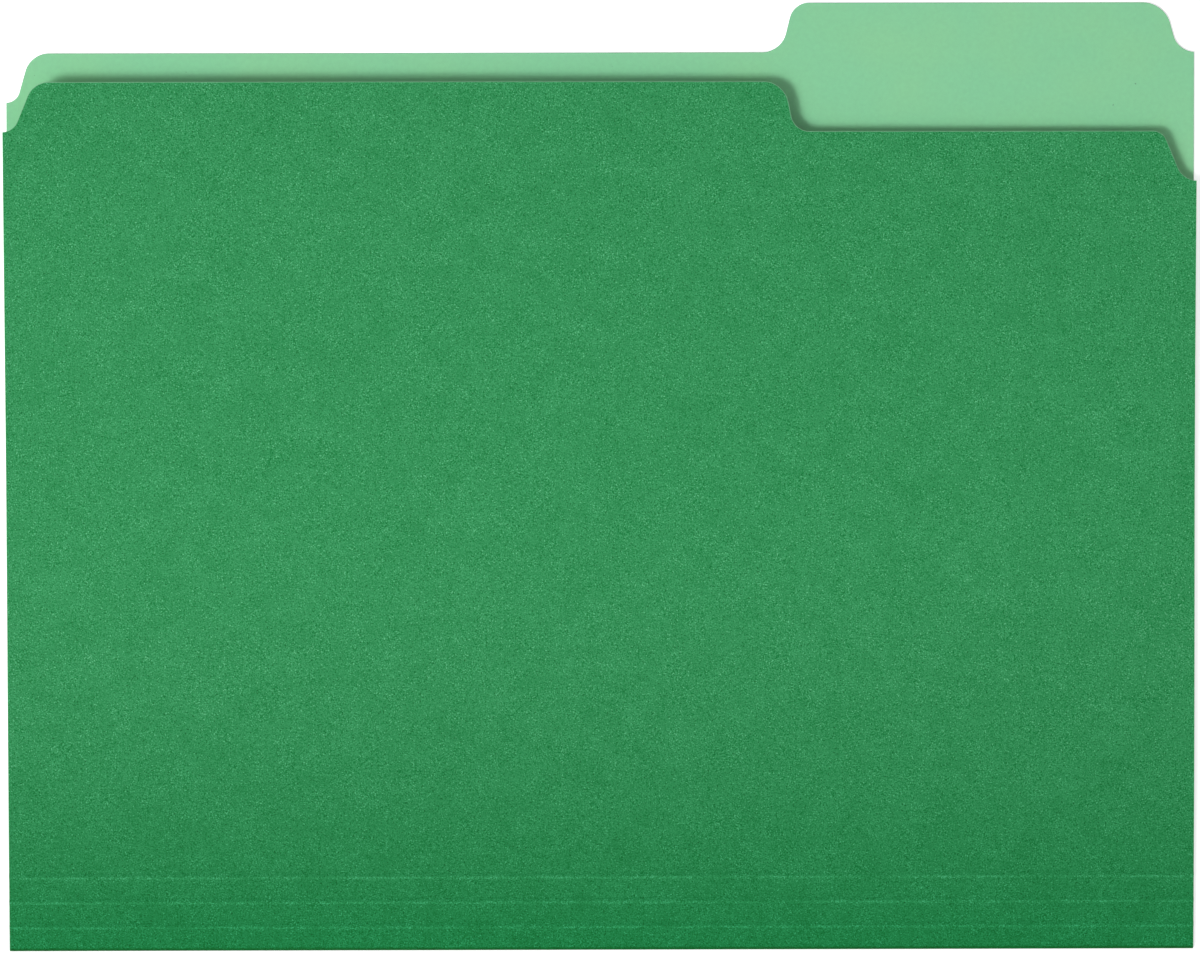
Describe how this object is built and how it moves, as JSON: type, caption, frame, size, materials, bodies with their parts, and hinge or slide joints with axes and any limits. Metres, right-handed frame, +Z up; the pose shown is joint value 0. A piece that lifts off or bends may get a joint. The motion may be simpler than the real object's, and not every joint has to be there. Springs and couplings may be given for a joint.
{
  "type": "file folder",
  "caption": "Letter-size file folder of two-tone green board with a right-hand index tab, a folded bottom and score lines that let the bottom open out.",
  "frame": {"origin": "middle of the footprint, on the surface that the back leaf lies on", "axes": "+X to the right along the bottom fold, +Y from the fold towards the index tab, +Z up through the front leaf"},
  "size_m": [0.2984, 0.2382, 0.0063],
  "materials": {
    "dark_green_board": "matte speckled board, the outside of the sheet",
    "light_green_board": "smooth matte board, the inside of the sheet"
  },
  "bodies": {
    "back": {"back_panel": "light_green_board"},
    "strip_1": {"bottom_fold": "dark_green_board", "score_strip_1": "dark_green_board", "score_crease_1": "dark_green_board"},
    "strip_2": {"score_strip_2": "dark_green_board", "score_crease_2": "dark_green_board"},
    "strip_3": {"score_strip_3": "dark_green_board", "score_crease_3": "dark_green_board"},
    "front": {"front_panel": "dark_green_board"}
  },
  "joints": [
    {"name": "front_open", "type": "hinge", "parent": "back", "child": "strip_1", "pos_m": [0, -0.119, 0.0006], "axis": [1, 0, 0], "range_deg": [0, 178.6]},
    {"name": "score_1_bend", "type": "hinge", "parent": "strip_1", "child": "strip_2", "pos_m": [0, -0.11286, 0.00119], "axis": [-1, 0, 0], "range_deg": [-60, 0]},
    {"name": "score_2_bend", "type": "hinge", "parent": "strip_2", "child": "strip_3", "pos_m": [0, -0.10656, 0.00134], "axis": [-1, 0, 0], "range_deg": [-60, 0]},
    {"name": "score_3_bend", "type": "hinge", "parent": "strip_3", "child": "front", "pos_m": [0, -0.10027, 0.00149], "axis": [-1, 0, 0], "range_deg": [-60, 0]}
  ]
}
